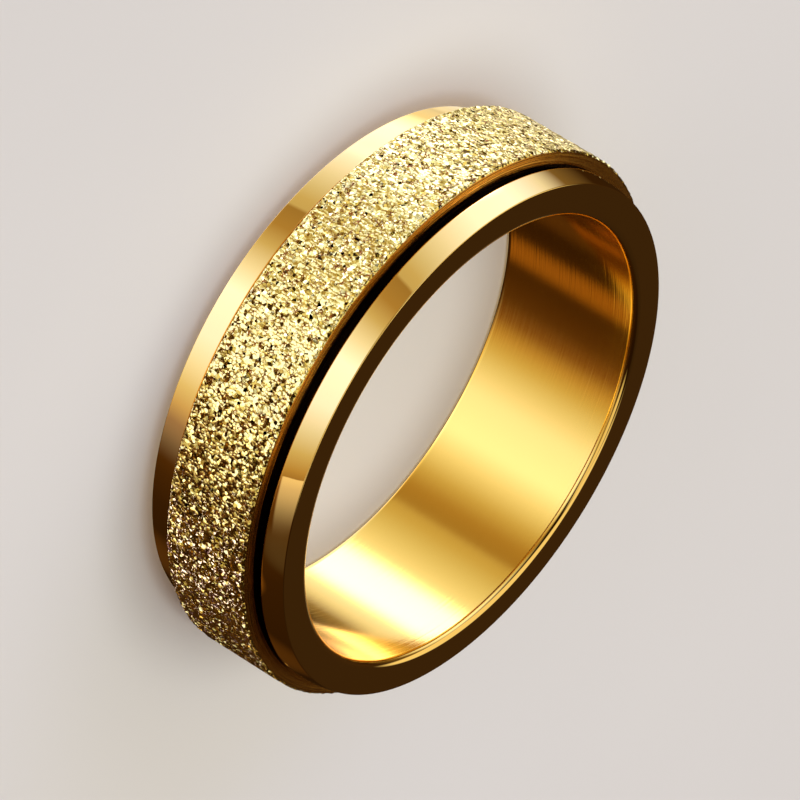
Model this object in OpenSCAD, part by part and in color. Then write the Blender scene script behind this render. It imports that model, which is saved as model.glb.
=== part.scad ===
// Spinner ring: a polished base ring with a channel round its outside, and a
// frosted band that turns freely in the channel.
// Units are millimetres. The finger axis is +Z, and the ring lies on its side,
// on the flat face of its lower rim, with its origin on the axis at that face.

/* [Base ring] */
// Inside diameter of the ring, where the finger goes
bore_d = 17.3; // [14:0.1:23]
// Radius of the comfort rounding where the bore meets each flat face
comfort_r = 0.25; // [0.1:0.05:0.4]
// Width of the flat face at each end, from the comfort rounding to the bevel
face_w = 1.0; // [0.8:0.05:1.6]
// Width of each rim along the finger axis
rim_w = 1.0; // [0.6:0.05:1.6]
// Rise of each rim's bevel from the flat face up to the crest
bevel_rise = 0.18; // [0.05:0.01:0.4]
// Chamfer that breaks each crest on its channel side
crest_chamfer = 0.14; // [0.05:0.01:0.25]
// Thickness of the wall between the bore and the channel's floor
channel_wall = 0.6; // [0.4:0.05:0.8]

/* [Spinner band] */
// Width of the band along the finger axis
band_w = 3.5; // [2:0.1:8]
// Height of the band's outside above the crests of the rims
band_proud = 0.5; // [0.1:0.05:1]
// Chamfer on the band's two outer edges
band_chamfer = 0.08; // [0.02:0.01:0.2]

/* [Fits] */
// Gap between each side of the band and the rim beside it
side_gap = 0.25; // [0.1:0.01:0.4]
// Radial gap between the band and the channel's floor
running_gap = 0.05; // [0.02:0.01:0.1]

/* [Hidden] */
$fn = 240;

// Radii from the axis outwards
bore_r = bore_d / 2;
face_inner_r = bore_r + comfort_r;
face_outer_r = face_inner_r + face_w;
crest_r = face_outer_r + bevel_rise;
channel_r = bore_r + channel_wall;
band_inner_r = channel_r + running_gap;
band_outer_r = crest_r + band_proud;

// Heights from the face that the ring rests on
channel_w = band_w + 2 * side_gap;
ring_w = channel_w + 2 * rim_w;
band_base = rim_w + side_gap;

// Half section of the blank, before the channel is cut: [radius, height]
module blank_section() {
    polygon([
        [bore_r, 0],
        [face_outer_r, 0],
        [crest_r, rim_w - crest_chamfer],
        [crest_r, ring_w - rim_w + crest_chamfer],
        [face_outer_r, ring_w],
        [bore_r, ring_w]
    ]);
}

// Half section of the channel, with a broken edge at each crest
module channel_section() {
    mouth_r = crest_r + crest_chamfer;
    polygon([
        [channel_r, rim_w],
        [crest_r - crest_chamfer, rim_w],
        [mouth_r, rim_w - 2 * crest_chamfer],
        [mouth_r, ring_w - rim_w + 2 * crest_chamfer],
        [crest_r - crest_chamfer, ring_w - rim_w],
        [channel_r, ring_w - rim_w]
    ]);
}

// Corner that the comfort rounding takes off the lower edge of the bore
module comfort_corner() {
    difference() {
        translate([bore_r - comfort_r, -comfort_r])
            square(2 * comfort_r);
        translate([bore_r + comfort_r, comfort_r])
            circle(comfort_r);
    }
}

// Base ring: bore, flat faces, bevelled rims and the channel for the band
module base_ring() {
    color("goldenrod")
        rotate_extrude()
            difference() {
                blank_section();
                channel_section();
                comfort_corner();
                translate([0, ring_w])
                    mirror([0, 1])
                        comfort_corner();
            }
}

// Spinner band: a plain hoop with broken outer edges, free in the channel
module spinner_band() {
    edge_r = band_outer_r - band_chamfer;
    color("gold")
        translate([0, 0, band_base])
            rotate_extrude()
                polygon([
                    [band_inner_r, 0],
                    [edge_r, 0],
                    [band_outer_r, band_chamfer],
                    [band_outer_r, band_w - band_chamfer],
                    [edge_r, band_w],
                    [band_inner_r, band_w]
                ]);
}

base_ring();
spinner_band();
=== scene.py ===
import math

import bmesh
import bpy
from mathutils import Matrix, Vector, noise


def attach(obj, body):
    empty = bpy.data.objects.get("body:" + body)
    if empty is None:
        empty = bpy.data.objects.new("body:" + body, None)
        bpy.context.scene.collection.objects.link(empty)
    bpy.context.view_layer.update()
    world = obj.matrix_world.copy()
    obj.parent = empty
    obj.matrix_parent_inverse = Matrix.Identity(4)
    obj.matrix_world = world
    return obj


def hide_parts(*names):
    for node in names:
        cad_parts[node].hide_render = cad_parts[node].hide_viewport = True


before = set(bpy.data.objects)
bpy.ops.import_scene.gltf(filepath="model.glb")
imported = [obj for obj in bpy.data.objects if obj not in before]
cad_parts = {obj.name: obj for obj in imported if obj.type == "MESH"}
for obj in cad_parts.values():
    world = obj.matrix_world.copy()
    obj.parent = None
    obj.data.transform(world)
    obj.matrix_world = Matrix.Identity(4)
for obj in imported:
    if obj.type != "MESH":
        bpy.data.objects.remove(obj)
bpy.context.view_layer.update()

MM = 0.001

# Sizes of the base ring, in millimetres. They are the solid's, but for the back rim's broken
# edge, which is finer here
BORE_R = 8.65
COMFORT_R = 0.25
FACE_OUTER_R = 9.90
CREST_R = 10.08
CHANNEL_R = 9.25
RIM_W = 1.0
CREST_CHAMFER = 0.14
BACK_CHAMFER = 0.05
RING_W = 6.0

# Finer things that only the look needs, in millimetres: the roundings of its edges and corners,
# and how far the front bevel bulges out between its edges
EDGE_BREAK = 0.03
CREST_BREAK = 0.01
CHANNEL_CORNER = 0.06
FRONT_CROWN = 0.02
CROWN_ROUNDING = 0.36

# Sizes of the band, in millimetres
BAND_INNER_R = 9.30
BAND_OUTER_R = 10.58
BAND_W = 3.5
BAND_BASE = 1.25
BAND_EDGE = 0.08

# The frosted grain on the band: lumps in the mesh, in millimetres, and how far the grain takes to
# start at the band's edges
LUMP_SIZE = 0.24
LUMP_DEPTH = 0.038
GRAIN_START = 0.02

# A lump is part dome and part uneven height. Its dome ends at a share of its size, and lumps at
# the band's edges are this much deeper
LUMP_REACH = 0.75
DOME_SHARE = 0.65
UNEVEN_SHARE = 0.35
EDGE_DEEPER = 1.6

# Finer facets on the lumps: their size and how far their borders wander, in millimetres, how
# much they lean and how domed they are
FACET_SIZE = 0.125
FACET_WANDER = 0.12
FACET_LEAN = 1.6
FACET_DOME = 1.1

# Steps round each piece, a sector of a few steps that is doubled until it closes, and the rows
# of faces across the band that hold its lumps
RING_SECTOR_STEPS = 8
BAND_SECTOR_STEPS = 20
DOUBLINGS = 6
LUMP_ROWS = 54

# The camera, as the photograph stands to the ring: angles, lens, and millimetres from the front
# face's centre
VIEW_ELEVATION = math.radians(28.1)
VIEW_ROLL = math.radians(121.29)
LENS = 360.0
FACE_RIGHT = 2.577
FACE_DOWN = 1.432
FACE_AHEAD = 275.04

# Depths of the turned lines in the bore and on the band's side walls, in millimetres
BORE_LINE_DEPTH = 0.004
SIDE_LINE_DEPTH = 0.045

# How often the finishes' patterns repeat in a metre: the turned lines across and along
# themselves, the clouding on the polish, the patches on the grain and the bends of its facets
BORE_LINES_ACROSS = 15000.0
BORE_LINES_ALONG = 200.0
SIDE_LINES_ACROSS = 14000.0
SIDE_LINES_ALONG = 150.0
CLOUDS = 420.0
PATCHES = 3600.0
BENDS = 7000.0

# Roughness of the polish and what clouding, bore, lines and channel add to it
POLISH_ROUGH = 0.015
CLOUDS_ROUGH = 0.02
BORE_ROUGH = 0.095
LINES_ROUGH = 0.03
CHANNEL_ROUGH = 0.30

# Roughness of the band's side walls, how much smoother its facets are, and what crevices add
SIDE_ROUGH = 0.22
FACETS_SMOOTHER = 0.12
CREVICE_ROUGH = 0.25

# Where the crevices are: how much the patches widen them, and their outer and inner edge
CREVICE_PATCHED = 0.60
CREVICE_OUTER = 0.37
CREVICE_INNER = 0.25

# Colours of the metal and of the floor, with browns painted as shade in the grain's crevices and
# in the channel
GOLD = (0.95, 0.68, 0.21, 1.0)
SATIN_GOLD = (0.95, 0.62, 0.11, 1.0)
SIDE_GOLD = (0.85, 0.46, 0.08, 1.0)
FROSTED_GOLD = (0.97, 0.81, 0.24, 1.0)
# Painted shade: a dark red-brown laid into the grain's crevices, where shade falls between the
# facets
CREVICE_SHADE_BROWN = (0.27, 0.075, 0.005, 1.0)
# Painted shade: a near-black brown laid over the channel's recess and over the band's walls where
# they sink into it
CHANNEL_SHADE_BROWN = (0.05, 0.022, 0.006, 1.0)
FLOOR_GREY = (0.66, 0.655, 0.635, 1.0)
FLOOR_PALE = (0.70, 0.695, 0.675, 1.0)
BACKGROUND = (0.78, 0.77, 0.76, 1.0)


class Wire:
    """An outlet of a node, so that sums on it add their Math nodes."""

    def __init__(self, bench, socket):
        self.bench = bench
        self.socket = socket

    def sum(self, operation, *values):
        inputs = dict(enumerate(values))
        return self.bench.node("Math", {"operation": operation}, inputs)

    def __add__(self, other):
        return self.sum("ADD", self, other)

    def __radd__(self, other):
        return self.sum("ADD", other, self)

    def __rsub__(self, other):
        return self.sum("SUBTRACT", other, self)

    def __mul__(self, other):
        return self.sum("MULTIPLY", self, other)

    def __rmul__(self, other):
        return self.sum("MULTIPLY", other, self)

    def __truediv__(self, other):
        return self.sum("DIVIDE", self, other)

    def __pow__(self, other):
        return self.sum("POWER", self, other)


class Bench:
    """One node tree that a finish or the studio is put together on."""

    def __init__(self, tree):
        self.tree = tree
        tree.nodes.clear()

    def node(self, kind, settings=None, inputs=None, outlet=0):
        made = self.tree.nodes.new("ShaderNode" + kind)
        for name, value in (settings or {}).items():
            if name == "stops":
                self.set_stops(made.color_ramp, value)
            else:
                setattr(made, name, value)
        for name, value in (inputs or {}).items():
            if isinstance(value, Wire):
                self.tree.links.new(value.socket, made.inputs[name])
            else:
                made.inputs[name].default_value = value
        return Wire(self, made.outputs[outlet])

    def set_stops(self, ramp, stops):
        while len(ramp.elements) < len(stops):
            ramp.elements.new(1.0)
        for element, (place, colour) in zip(ramp.elements, stops):
            element.position = place
            element.color = colour

    def finish(self, kind, wire):
        end = self.tree.nodes.new("ShaderNodeOutput" + kind)
        self.tree.links.new(wire.socket, end.inputs["Surface"])

    def smooth(self, value, low, high):
        """0 below low, 1 above high, and a smooth rise between; high may be the lower one."""
        return self.node(
            "MapRange",
            {"interpolation_type": "SMOOTHSTEP"},
            {"Value": value, "From Min": low, "From Max": high},
        )

    def mix(self, share, first, second):
        return self.node("Mix", {"data_type": "RGBA"}, {0: share, 6: first, 7: second}, outlet=2)

    def noise(self, vector, scale, detail=2.0):
        return self.node(
            "TexNoise", None, {"Vector": vector, "Scale": scale, "Detail": detail}
        )

    def stretch(self, vector, x, y, z):
        return self.node("Mapping", None, {"Vector": vector, "Scale": (x, y, z)})

    def vector(self, operation, first, second=None):
        inputs = {0: first}
        if second is not None:
            inputs["Scale" if operation == "SCALE" else 1] = second
        return self.node("VectorMath", {"operation": operation}, inputs)

    def parts(self, vector):
        return [self.node("SeparateXYZ", None, {"Vector": vector}, outlet=i) for i in range(3)]


def new_finish(name):
    made = bpy.data.materials.new(name)
    made.use_nodes = True
    return made, Bench(made.node_tree)


def polished_gold():
    """Mirror rims and a satin bore with lines turned round it."""
    made, bench = new_finish("polished_gold")
    place = bench.node("TexCoord", outlet="Object")
    x, y, z = bench.parts(place)
    radius = (x * x + y * y) ** 0.5
    bore = bench.smooth(radius, (BORE_R + 0.10) * MM, (BORE_R + 0.02) * MM)
    # Painted shade: the channel between the rims, up onto its chamfers, is coloured near-black
    # brown; it is also rougher
    channel = (
        bench.smooth(z, (RIM_W - 0.04) * MM, (RIM_W - 0.01) * MM)
        * bench.smooth(z, (RING_W - RIM_W + 0.02) * MM, (RING_W - RIM_W - 0.02) * MM)
        * (1 - bore)
    )
    stretched = bench.stretch(place, BORE_LINES_ALONG, BORE_LINES_ALONG, BORE_LINES_ACROSS)
    lines = bench.noise(stretched, 1.0, 3.0)
    clouds = bench.noise(place, CLOUDS, 4.0)
    colour = bench.mix(bore, GOLD, SATIN_GOLD)
    colour = bench.mix(channel, colour, CHANNEL_SHADE_BROWN)
    roughness = (
        POLISH_ROUGH
        + CLOUDS_ROUGH * clouds
        + bore * (BORE_ROUGH + LINES_ROUGH * lines)
        + channel * CHANNEL_ROUGH
    )
    bump = bench.node(
        "Bump",
        None,
        {"Strength": 1.0, "Distance": BORE_LINE_DEPTH * MM, "Height": lines * (bore + 0.02)},
    )
    shader = bench.node(
        "BsdfPrincipled",
        None,
        {"Base Color": colour, "Metallic": 1.0, "Roughness": roughness, "Normal": bump},
    )
    bench.finish("Material", shader)
    return made


def frosted_gold():
    """Domed bright facets with crevices painted dark as shade outside, turned lines on the side
    walls, and painted shade on the walls where they sink into the channel.
    """
    made, bench = new_finish("frosted_gold")
    place = bench.node("TexCoord", outlet="Object")
    x, y, z = bench.parts(place)
    radius = (x * x + y * y) ** 0.5
    grained = bench.node("Attribute", {"attribute_name": "grained"}, outlet="Fac")
    turned = {
        "X": radius * SIDE_LINES_ACROSS,
        "Y": x * SIDE_LINES_ALONG,
        "Z": y * SIDE_LINES_ALONG,
    }
    rings = bench.noise(bench.node("CombineXYZ", None, turned), 1.0, 3.0)
    patches = bench.noise(place, PATCHES)
    wander = bench.node("TexNoise", None, {"Vector": place, "Scale": BENDS}, outlet="Color")
    shift = FACET_WANDER * MM
    wander = bench.vector("SCALE", bench.vector("SUBTRACT", wander, (0.5, 0.5, 0.5)), shift)
    place = bench.vector("ADD", place, wander)
    facets = 1.0 / (FACET_SIZE * MM)
    cells = {"Vector": place, "Scale": facets}
    tone = bench.node("TexVoronoi", None, cells, outlet="Color")
    centre = bench.node("TexVoronoi", None, cells, outlet="Position")
    border = bench.node("TexVoronoi", {"feature": "DISTANCE_TO_EDGE"}, cells)
    # Painted shade: the crevices between facets are coloured dark red-brown as shade between them;
    # they are also rougher
    shaded_crevice = bench.smooth(border + CREVICE_PATCHED * patches, CREVICE_OUTER, CREVICE_INNER)
    shaded_crevice = shaded_crevice * grained
    # Painted shade: the band's side walls turn near-black brown below the rims' crest, where they
    # sink into the channel
    sunk_wall_shade = bench.smooth(radius, (CREST_R - 0.03) * MM, (CREST_R - 0.07) * MM)
    colour = bench.mix(grained, SIDE_GOLD, FROSTED_GOLD)
    colour = bench.mix(shaded_crevice, colour, CREVICE_SHADE_BROWN)
    colour = bench.mix(sunk_wall_shade, colour, CHANNEL_SHADE_BROWN)
    roughness = SIDE_ROUGH - FACETS_SMOOTHER * grained + CREVICE_ROUGH * shaded_crevice
    bump = bench.node(
        "Bump",
        None,
        {"Strength": 1.0, "Distance": SIDE_LINE_DEPTH * MM, "Height": (1 - grained) * rings},
    )
    lean = bench.vector("SUBTRACT", tone, (0.5, 0.5, 0.5))
    lean = bench.vector("SCALE", lean, 2.0)
    square = bench.vector("MULTIPLY", lean, lean)
    for i in range(2):
        lean = bench.vector("MULTIPLY", lean, square)
    out = bench.vector("SCALE", bench.vector("SUBTRACT", place, centre), facets)
    steep = bench.node("VectorMath", {"operation": "LENGTH"}, {0: out}, outlet="Value")
    flat = bench.smooth(patches, 0.75, 0.45)
    out = bench.vector("SCALE", out, FACET_DOME * steep * flat * grained)
    lean = bench.vector("SCALE", lean, FACET_LEAN * grained)
    facing = bench.vector("ADD", bump, bench.vector("ADD", lean, out))
    facing = bench.vector("NORMALIZE", facing)
    shader = bench.node(
        "BsdfPrincipled",
        None,
        {"Base Color": colour, "Metallic": 1.0, "Roughness": roughness, "Normal": facing},
    )
    bench.finish("Material", shader)
    return made


def closed_section(bm, corners, hold):
    """A closed outline of straight sides, with its corners rounded.

    Each corner is (radius, height, rounding). A vertex is kept beside each rounding, so that the
    flat sides stay flat when the faces are shaded smooth."""
    sharp = {}
    wire = []
    count = len(corners)
    for i, (r, z, rounding) in enumerate(corners):
        here = Vector((r, 0, z))
        before = Vector((corners[i - 1][0], 0, corners[i - 1][1]))
        after_corner = corners[(i + 1) % count]
        after = Vector((after_corner[0], 0, after_corner[1]))
        reach = rounding + hold
        wire.append(bm.verts.new((here + (before - here).normalized() * reach) * MM))
        tip = bm.verts.new(here * MM)
        wire.append(tip)
        wire.append(bm.verts.new((here + (after - here).normalized() * reach) * MM))
        sharp.setdefault(rounding, []).append(tip)
    for a, b in zip(wire, wire[1:] + wire[:1]):
        bm.edges.new((a, b))
    for rounding, tips in sharp.items():
        bmesh.ops.bevel(
            bm,
            geom=tips,
            offset=rounding * MM,
            offset_type="OFFSET",
            segments=8 if rounding > 0.2 else 3,
            profile=0.5,
            affect="VERTICES",
            material=-1,
        )


def full_turn(bm, steps):
    """Turns the outline round the finger axis: a small sector first, doubled until it closes."""
    sector = math.tau / 2**DOUBLINGS
    bmesh.ops.spin(
        bm,
        geom=bm.verts[:] + bm.edges[:],
        cent=(0, 0, 0),
        axis=(0, 0, 1),
        angle=sector,
        steps=steps,
        use_merge=False,
        use_duplicate=False,
    )
    for i in range(DOUBLINGS):
        copy = bmesh.ops.duplicate(bm, geom=bm.verts[:] + bm.edges[:] + bm.faces[:])
        bmesh.ops.rotate(
            bm,
            cent=(0, 0, 0),
            matrix=Matrix.Rotation(sector * 2**i, 3, "Z"),
            verts=[part for part in copy["geom"] if isinstance(part, bmesh.types.BMVert)],
        )
    bmesh.ops.remove_doubles(bm, verts=bm.verts, dist=0.5e-6)
    bmesh.ops.recalc_face_normals(bm, faces=bm.faces)
    for face in bm.faces:
        face.smooth = True


def new_piece(name, bm, finish):
    mesh = bpy.data.meshes.new(name)
    bm.to_mesh(mesh)
    bm.free()
    mesh.materials.append(finish)
    piece = bpy.data.objects.new(name, mesh)
    bpy.context.scene.collection.objects.link(piece)
    return piece


def make_base_ring():
    """Bore, flat faces, bevelled rims and the channel that holds the band."""
    bm = bmesh.new()
    top_rim = RING_W - RIM_W
    crown_r = (CREST_R + FACE_OUTER_R) / 2 + FRONT_CROWN
    crown_z = RING_W - (RIM_W - CREST_CHAMFER) / 2
    closed_section(
        bm,
        [
            (BORE_R, 0, COMFORT_R),
            (FACE_OUTER_R, 0, EDGE_BREAK),
            (CREST_R, RIM_W - BACK_CHAMFER, CREST_BREAK),
            (CREST_R - BACK_CHAMFER, RIM_W, CREST_BREAK),
            (CHANNEL_R, RIM_W, CHANNEL_CORNER),
            (CHANNEL_R, top_rim, CHANNEL_CORNER),
            (CREST_R - CREST_CHAMFER, top_rim, EDGE_BREAK),
            (CREST_R, top_rim + CREST_CHAMFER, EDGE_BREAK),
            (crown_r, crown_z, CROWN_ROUNDING),
            (FACE_OUTER_R, RING_W, EDGE_BREAK),
            (BORE_R, RING_W, COMFORT_R),
        ],
        hold=0.01,
    )
    full_turn(bm, RING_SECTOR_STEPS)
    piece = new_piece("dressed_base_ring", bm, polished_gold())
    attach(piece, "base")
    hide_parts("base_ring")


def lump_height(place):
    """Height in millimetres, 0 or lower, of the frosted skin's lumps at a place."""
    near, centres = noise.voronoi(place / LUMP_SIZE)
    dome = 1 - min(near[0] / LUMP_REACH, 1.0) ** 2
    rise = 0.5 + 0.5 * noise.cell(centres[0] * 23.1)
    return LUMP_DEPTH * (DOME_SHARE * dome + UNEVEN_SHARE * rise - 1.0)


def make_band():
    """The hoop that turns in the channel, with its frosted grain in the mesh."""
    bm = bmesh.new()
    top = BAND_BASE + BAND_W
    closed_section(
        bm,
        [
            (BAND_INNER_R, BAND_BASE, EDGE_BREAK),
            (BAND_OUTER_R, BAND_BASE, BAND_EDGE),
            (BAND_OUTER_R, top, BAND_EDGE),
            (BAND_INNER_R, top, EDGE_BREAK),
        ],
        hold=0.02,
    )
    limit = (BAND_OUTER_R - 0.001) * MM
    outside = [
        edge
        for edge in bm.edges
        if all(v.co.x > limit for v in edge.verts) and edge.calc_length() > 1.0 * MM
    ]
    bmesh.ops.subdivide_edges(bm, edges=outside, cuts=LUMP_ROWS - 1, use_grid_fill=False)
    full_turn(bm, BAND_SECTOR_STEPS)
    bm.normal_update()
    grained = bm.verts.layers.float.new("grained")
    edge_r = BAND_OUTER_R - BAND_EDGE
    moves = []
    for v in bm.verts:
        radius = math.hypot(v.co.x, v.co.y) / MM
        share = min(max((radius - edge_r) / GRAIN_START, 0.0), 1.0)
        if share > 0.0 or abs(radius - edge_r) < 0.001:
            v[grained] = 1.0
        edge = 1.0 if radius > BAND_OUTER_R - 0.001 else EDGE_DEEPER
        moves.append((v, v.normal * lump_height(v.co / MM) * edge * share * MM))
    for v, move in moves:
        v.co += move
    for face in bm.faces:
        if abs(face.normal.z) > 0.999:
            face.smooth = False
    piece = new_piece("dressed_spinner_band", bm, frosted_gold())
    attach(piece, "band")
    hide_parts("spinner_band")
    return piece


def make_floor():
    """A plain pale floor that the ring's mirror faces don't show."""
    bm = bmesh.new()
    bmesh.ops.create_grid(bm, x_segments=1, y_segments=1, size=2.0)
    finish, bench = new_finish("pale_floor")
    shade = bench.noise(bench.node("TexCoord", outlet="Object"), 40.0, 3.0)
    colour = bench.mix(shade, FLOOR_GREY, FLOOR_PALE)
    shader = bench.node("BsdfPrincipled", None, {"Base Color": colour, "Roughness": 0.8})
    bench.finish("Material", shader)
    floor = new_piece("floor", bm, finish)
    floor.visible_glossy = False
    floor.visible_shadow = False
    floor.visible_diffuse = False


# Colours of the light
WHITE = (1.0, 1.08, 1.95)
CLEAR = (1.0, 1.04, 1.40)
PLAIN = (1.0, 0.97, 1.0)
MILK = (1.0, 0.95, 1.0)
CREAM = (1.0, 0.95, 0.80)
HONEY = (1.0, 0.90, 0.62)
WARM = (1.0, 0.86, 0.62)
AMBER = (1.0, 0.66, 0.28)
EMBER = (1.0, 0.40, 0.08)
DUSK = (1.0, 0.70, 0.45)
LILAC = (0.69, 0.61, 1.0)

# The light panels round the ring: (direction in degrees, brightness, colour), and the studio
# fades evenly from one to the next. They lean a little, and fade out high up
PANELS_LEAN = math.radians(-20.0)
LEAN_AXIS = (math.cos(math.radians(5.0)), math.sin(math.radians(5.0)), 0.0)
PANELS_FULL = 0.35
PANELS_END = 0.80
AMBIENT = 0.018
BRIGHTEST = 2.0
PANELS = [
    (-180.0, 1.50, WHITE),
    (-163.0, 1.35, WHITE),
    (-147.0, 0.94, CLEAR),
    (-138.0, 0.74, PLAIN),
    (-132.0, 0.64, WARM),
    (-127.0, 0.60, WARM),
    (-126.6, 0.36, AMBER),
    (-118.0, 0.44, AMBER),
    (-110.0, 0.66, WARM),
    (-100.0, 1.02, CLEAR),
    (-90.0, 1.45, WHITE),
    (-72.0, 1.25, WHITE),
    (-61.0, 0.90, CLEAR),
    (-52.0, 0.68, WARM),
    (-45.0, 0.52, AMBER),
    (-38.0, 0.20, EMBER),
    (-29.0, 0.08, EMBER),
    (-15.0, 0.04, EMBER),
    (0.0, 0.020, EMBER),
    (60.0, 0.003, EMBER),
    (132.0, 0.020, EMBER),
    (152.0, 0.20, AMBER),
    (163.0, 0.94, CLEAR),
    (172.0, 1.20, WHITE),
    (180.0, 1.50, WHITE),
]

# Round soft boxes: (azimuth, elevation, brightness, full and faded radii, all in degrees, colour)
SOFT_BOXES = [
    (180.0, -29.0, 2.7, 5.0, 16.0, WHITE),
    (140.0, 62.0, 1.0, 28.0, 36.0, WARM),
    (-40.0, 66.0, 0.9, 14.0, 24.0, WARM),
    (0.0, -90.0, 0.6, 15.0, 30.0, WARM),
    (110.0, -40.0, 1.0, 8.0, 14.0, CREAM),
    (136.0, -46.0, 0.85, 11.0, 19.0, CREAM),
    (92.0, 3.0, 0.20, 8.0, 14.0, WARM),
    (7.0, -24.0, 0.30, 2.0, 10.0, EMBER),
    (90.0, 28.0, 0.017, 25.0, 50.0, DUSK),
    (-36.0, -48.0, 0.16, 6.0, 23.0, CLEAR),
    (-12.0, -6.0, 0.032, 3.0, 12.0, CREAM),
    (50.0, -28.0, 0.055, 5.0, 17.0, EMBER),
]

# Small soft lights for the band alone: (azimuth, elevation, brightness, radius in degrees,
# colour), all at one distance in metres
BAND_LIGHT_AWAY = 0.4
BAND_LIGHTS = [
    (38.0, -44.0, 4.9, 7.5, LILAC),
    (52.0, -8.0, 2.4, 5.0, AMBER),
    (-58.0, -26.0, 1.3, 13.0, MILK),
    (118.0, -30.0, 0.7, 14.0, HONEY),
]

# The sliver of a panel that only the front bevel shows. It ends sharply below, and the crowned
# bevel bends that end along the rim
STRIP_START = -42.0 / 360 + 0.5
STRIP_END = -18.0 / 360 + 0.5
STRIP_EDGE = 0.0004
STRIP_LOW = -0.208
STRIP_HIGH = -0.186
STRIP_LEVEL = 0.62

# The broad light over the floor: its width and height in metres, and its power in watts
SOFT_LIGHT_SIZE = 0.5
SOFT_LIGHT_HEIGHT = 0.45
SOFT_LIGHT_POWER = 1.4


def direction(azimuth, elevation):
    """The unit vector that points to a place of the studio, given in degrees."""
    around = math.radians(azimuth)
    lift = math.radians(elevation)
    return (
        math.cos(around) * math.cos(lift),
        math.sin(around) * math.cos(lift),
        math.sin(lift),
    )


def hang_soft_light():
    """A broad soft light over the floor, which the mirror faces don't show."""
    data = bpy.data.lights.new("soft_light", "AREA")
    data.shape = "DISK"
    data.size = SOFT_LIGHT_SIZE
    data.energy = SOFT_LIGHT_POWER
    lamp = bpy.data.objects.new("soft_light", data)
    lamp.location = (0.0, 0.0, SOFT_LIGHT_HEIGHT)
    lamp.visible_glossy = False
    lamp.visible_camera = False
    bpy.context.scene.collection.objects.link(lamp)


def hang_band_lights(band):
    """Small soft lights round the ring that only the band catches.

    A disk's power is pi squared times its brightness and the square of its radius."""
    only = bpy.data.collections.new("band_only")
    only.objects.link(band)
    for azimuth, elevation, level, radius, colour in BAND_LIGHTS:
        away = Vector(direction(azimuth, elevation))
        reach = BAND_LIGHT_AWAY * math.tan(math.radians(radius))
        data = bpy.data.lights.new("band_light", "AREA")
        data.shape = "DISK"
        data.size = 2 * reach
        data.color = colour
        data.energy = level * math.pi**2 * reach**2
        lamp = bpy.data.objects.new("band_light", data)
        lamp.location = away * BAND_LIGHT_AWAY
        lamp.rotation_euler = away.to_track_quat("Z", "Y").to_euler()
        lamp.visible_camera = False
        lamp.light_linking.receiver_collection = only
        bpy.context.scene.collection.objects.link(lamp)


def light_studio():
    """Soft panels, a strip and round soft boxes stand round the ring, in the world's light."""
    world = bpy.data.worlds.new("studio")
    bpy.context.scene.world = world
    world.use_nodes = True
    bench = Bench(world.node_tree)
    look = bench.node("TexCoord", outlet="Generated")
    lean = bench.node(
        "VectorRotate",
        {"rotation_type": "AXIS_ANGLE"},
        {"Vector": look, "Axis": LEAN_AXIS, "Angle": PANELS_LEAN},
    )
    x, y, z = bench.parts(lean)
    turn = y.sum("ARCTAN2", y, x) / math.tau + 0.5
    stops = [
        (angle / 360 + 0.5, tuple(level / BRIGHTEST * part for part in colour) + (1.0,))
        for angle, level, colour in PANELS
    ]
    ramp = bench.node("ValToRGB", {"stops": stops}, {"Fac": turn})
    up = bench.parts(look)[2]
    fade = bench.smooth(up, PANELS_END, PANELS_FULL)
    light = bench.vector("SCALE", ramp, BRIGHTEST * fade)
    strip = (
        bench.smooth(turn, STRIP_START - STRIP_EDGE, STRIP_START + STRIP_EDGE)
        * bench.smooth(turn, STRIP_END, STRIP_START)
        * bench.smooth(up, STRIP_LOW, STRIP_HIGH)
    )
    light = bench.vector("ADD", light, bench.vector("SCALE", PLAIN, STRIP_LEVEL * strip * fade))
    light = bench.vector("ADD", light, tuple(AMBIENT * part for part in EMBER))
    for azimuth, elevation, level, full, faded, colour in SOFT_BOXES:
        near = bench.node(
            "VectorMath",
            {"operation": "DOT_PRODUCT"},
            {0: look, 1: direction(azimuth, elevation)},
            outlet="Value",
        )
        share = bench.smooth(near, math.cos(math.radians(faded)), math.cos(math.radians(full)))
        light = bench.vector("ADD", light, bench.vector("SCALE", colour, level * share))
    seen = bench.node("LightPath", outlet="Is Camera Ray")
    colour = bench.mix(seen, light, BACKGROUND)
    bench.finish("World", bench.node("Background", None, {"Color": colour, "Strength": 1.0}))


def place_camera():
    """The photograph's view of the ring, rolled so that the ring stands in it as it does there."""
    up = Vector((0, math.sin(VIEW_ELEVATION), math.cos(VIEW_ELEVATION)))
    back = Vector((0, -math.cos(VIEW_ELEVATION), math.sin(VIEW_ELEVATION)))
    across = Vector((1, 0, 0))
    right = across * math.cos(VIEW_ROLL) + up * math.sin(VIEW_ROLL)
    rolled_up = up * math.cos(VIEW_ROLL) - across * math.sin(VIEW_ROLL)
    face_centre = Vector((0, 0, RING_W))
    eye = face_centre - right * FACE_RIGHT + rolled_up * FACE_DOWN + back * FACE_AHEAD
    data = bpy.data.cameras.new("camera")
    data.lens = LENS
    data.clip_start = 0.01
    data.clip_end = 20.0
    camera = bpy.data.objects.new("camera", data)
    turn = Matrix((right, rolled_up, back)).transposed().to_4x4()
    camera.matrix_world = Matrix.Translation(eye * MM) @ turn
    bpy.context.scene.collection.objects.link(camera)
    bpy.context.scene.camera = camera


make_base_ring()
band = make_band()
make_floor()
light_studio()
hang_soft_light()
hang_band_lights(band)
place_camera()
bpy.context.scene.view_settings.view_transform = "Standard"
